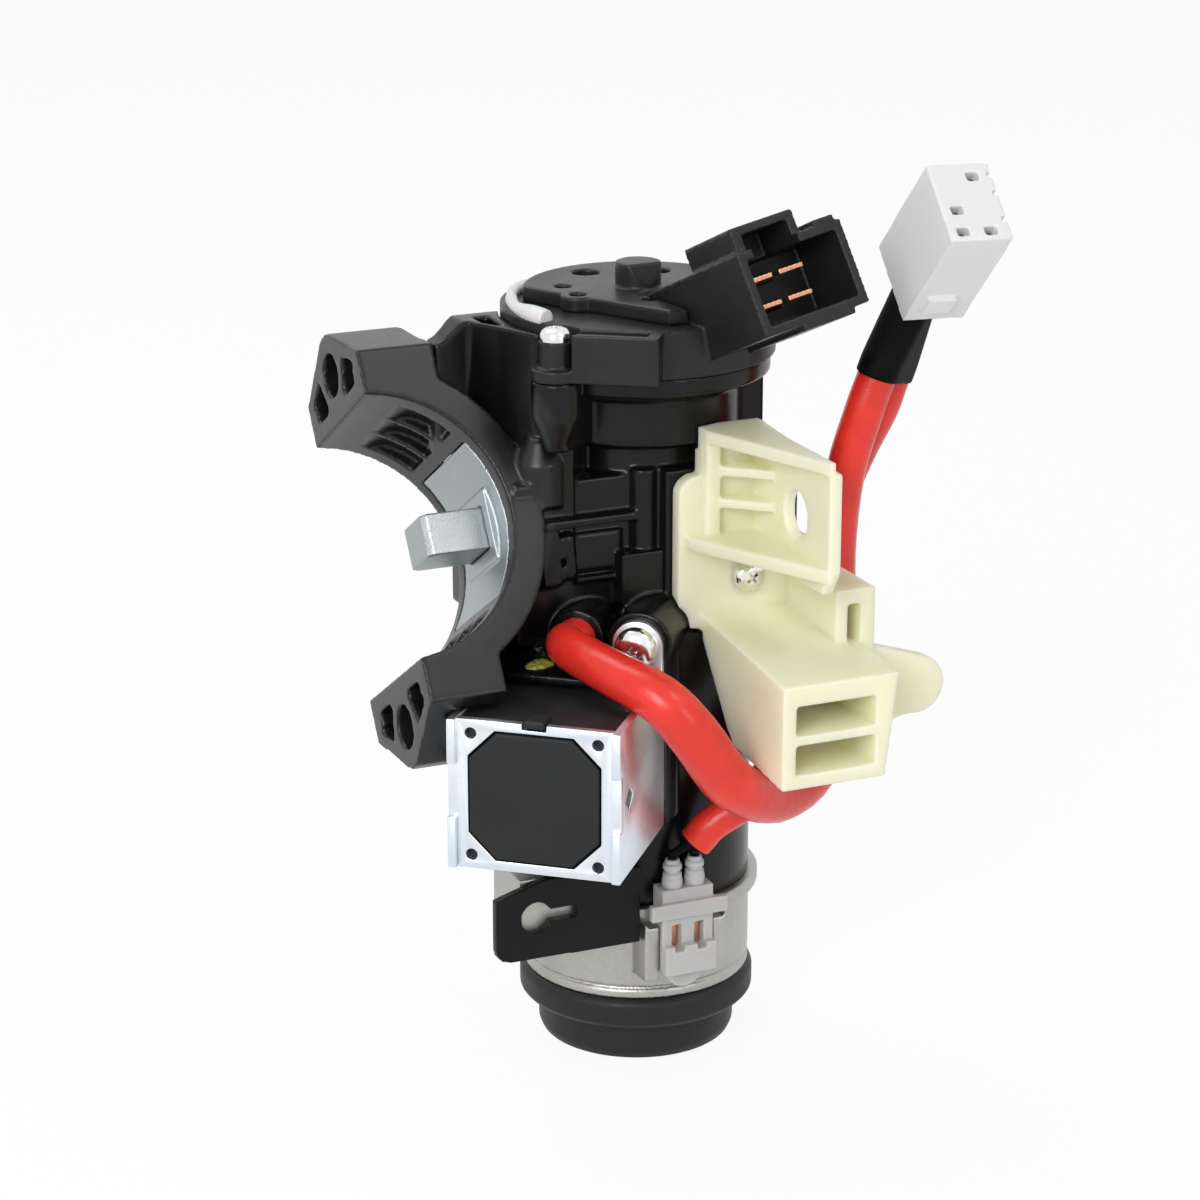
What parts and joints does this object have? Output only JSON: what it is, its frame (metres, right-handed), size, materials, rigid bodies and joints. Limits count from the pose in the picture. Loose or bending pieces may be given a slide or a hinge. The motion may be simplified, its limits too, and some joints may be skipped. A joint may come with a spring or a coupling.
{
  "type": "ignition switch",
  "caption": "Ignition switch with steering lock: half-collar column clamp, spring lock bolt, key cylinder, interlock solenoid, bracket, electrical switch and short harness.",
  "frame": {"origin": "midway between the two clamp bolt holes, on the ears' split face", "axes": "+X from the steering column to the lock axis, -Y to the bracket side, +Z along the lock axis from the key end to the electrical switch"},
  "size_m": [0.0975, 0.0772, 0.1543],
  "materials": {
    "housing": "gloss black paint on a die casting",
    "cast_zinc": "satin cast zinc",
    "lock_steel": "bright zinc-plated steel",
    "plug_zinc": "satin cast zinc",
    "wafer_brass": "stamped brass",
    "black_cap": "matte black moulded plastic",
    "white_plastic": "satin white moulded plastic",
    "seal_rubber": "pale silicone rubber",
    "black_wire": "black insulation",
    "copper": "bright copper alloy",
    "plated_steel": "bright zinc-plated sheet steel",
    "screw_chrome": "bright plated screw",
    "cream_plastic": "natural cream nylon, slightly translucent",
    "switch_black": "satin black moulded plastic",
    "rotor_plastic": "natural moulded plastic",
    "red_sleeve": "glossy red shrink sleeve"
  },
  "bodies": {
    "housing": {"lock_housing": "housing", "guide_plate": "cast_zinc", "bolt_spring_front": "lock_steel", "bolt_spring_rear": "lock_steel", "chamber_cover": "housing", "lock_sleeve": "cast_zinc", "retaining_pin": "lock_steel", "face_cap": "black_cap", "key_plate": "black_cap", "warning_body": "white_plastic", "warning_leaf_left": "copper", "warning_leaf_right": "copper", "warning_seal_left": "seal_rubber", "warning_seal_right": "seal_rubber", "warning_wire_left": "black_wire", "warning_wire_right": "black_wire", "solenoid_yoke": "plated_steel", "solenoid_front": "plated_steel", "solenoid_bobbin": "black_cap", "solenoid_coil": "copper", "solenoid_core": "lock_steel", "plunger_spring": "lock_steel", "solenoid_screw": "screw_chrome", "bracket": "cream_plastic", "bracket_screw": "screw_chrome", "switch_base": "switch_black", "switch_cover": "switch_black", "blade_1": "copper", "blade_2": "copper", "blade_3": "copper", "blade_4": "copper", "switch_screw_front": "screw_chrome", "switch_screw_rear": "screw_chrome", "conduit_a": "red_sleeve", "conduit_b": "red_sleeve", "shrink_boot": "black_wire", "plug_body": "white_plastic", "plug_terminal_1": "copper", "plug_terminal_2": "copper", "plug_terminal_3": "copper", "plug_terminal_4": "copper"},
    "rotor": {"cam_shaft": "cast_zinc", "lock_plug": "plug_zinc", "wafer_1": "wafer_brass", "wafer_2": "wafer_brass", "wafer_3": "wafer_brass", "wafer_4": "wafer_brass", "wafer_5": "wafer_brass", "wafer_6": "wafer_brass", "shutter_pin": "lock_steel", "switch_rotor": "rotor_plastic", "bridge_contact": "copper"},
    "bolt": {"lock_bolt": "lock_steel"},
    "plunger": {"solenoid_plunger": "lock_steel"},
    "shutter": {"key_shutter": "lock_steel"}
  },
  "joints": [
    {"name": "key_turn", "type": "hinge", "parent": "housing", "child": "rotor", "pos_m": [0.0483, 0, 0], "axis": [0, 0, 1], "range_deg": [0, 110]},
    {"name": "bolt_slide", "type": "slide", "parent": "housing", "child": "bolt", "axis": [1, 0, 0], "range_m": [0, 0.0075], "deforming": ["bolt_spring_front", "bolt_spring_rear"]},
    {"name": "plunger_slide", "type": "slide", "parent": "housing", "child": "plunger", "axis": [-0.6428, -0.766, 0], "range_m": [0, 0.004], "stiffness_N_per_m": 150, "deforming": ["plunger_spring"]},
    {"name": "shutter_swing", "type": "hinge", "parent": "rotor", "child": "shutter", "pos_m": [0.0483, 0.0046, -0.0876], "axis": [-1, 0, 0], "range_deg": [0, 75], "stiffness_Nm_per_rad": 0.002}
  ],
  "couplings": [
    {"joint": "bolt_slide", "follows": "key_turn", "m_per_rad": 0.0039065}
  ]
}
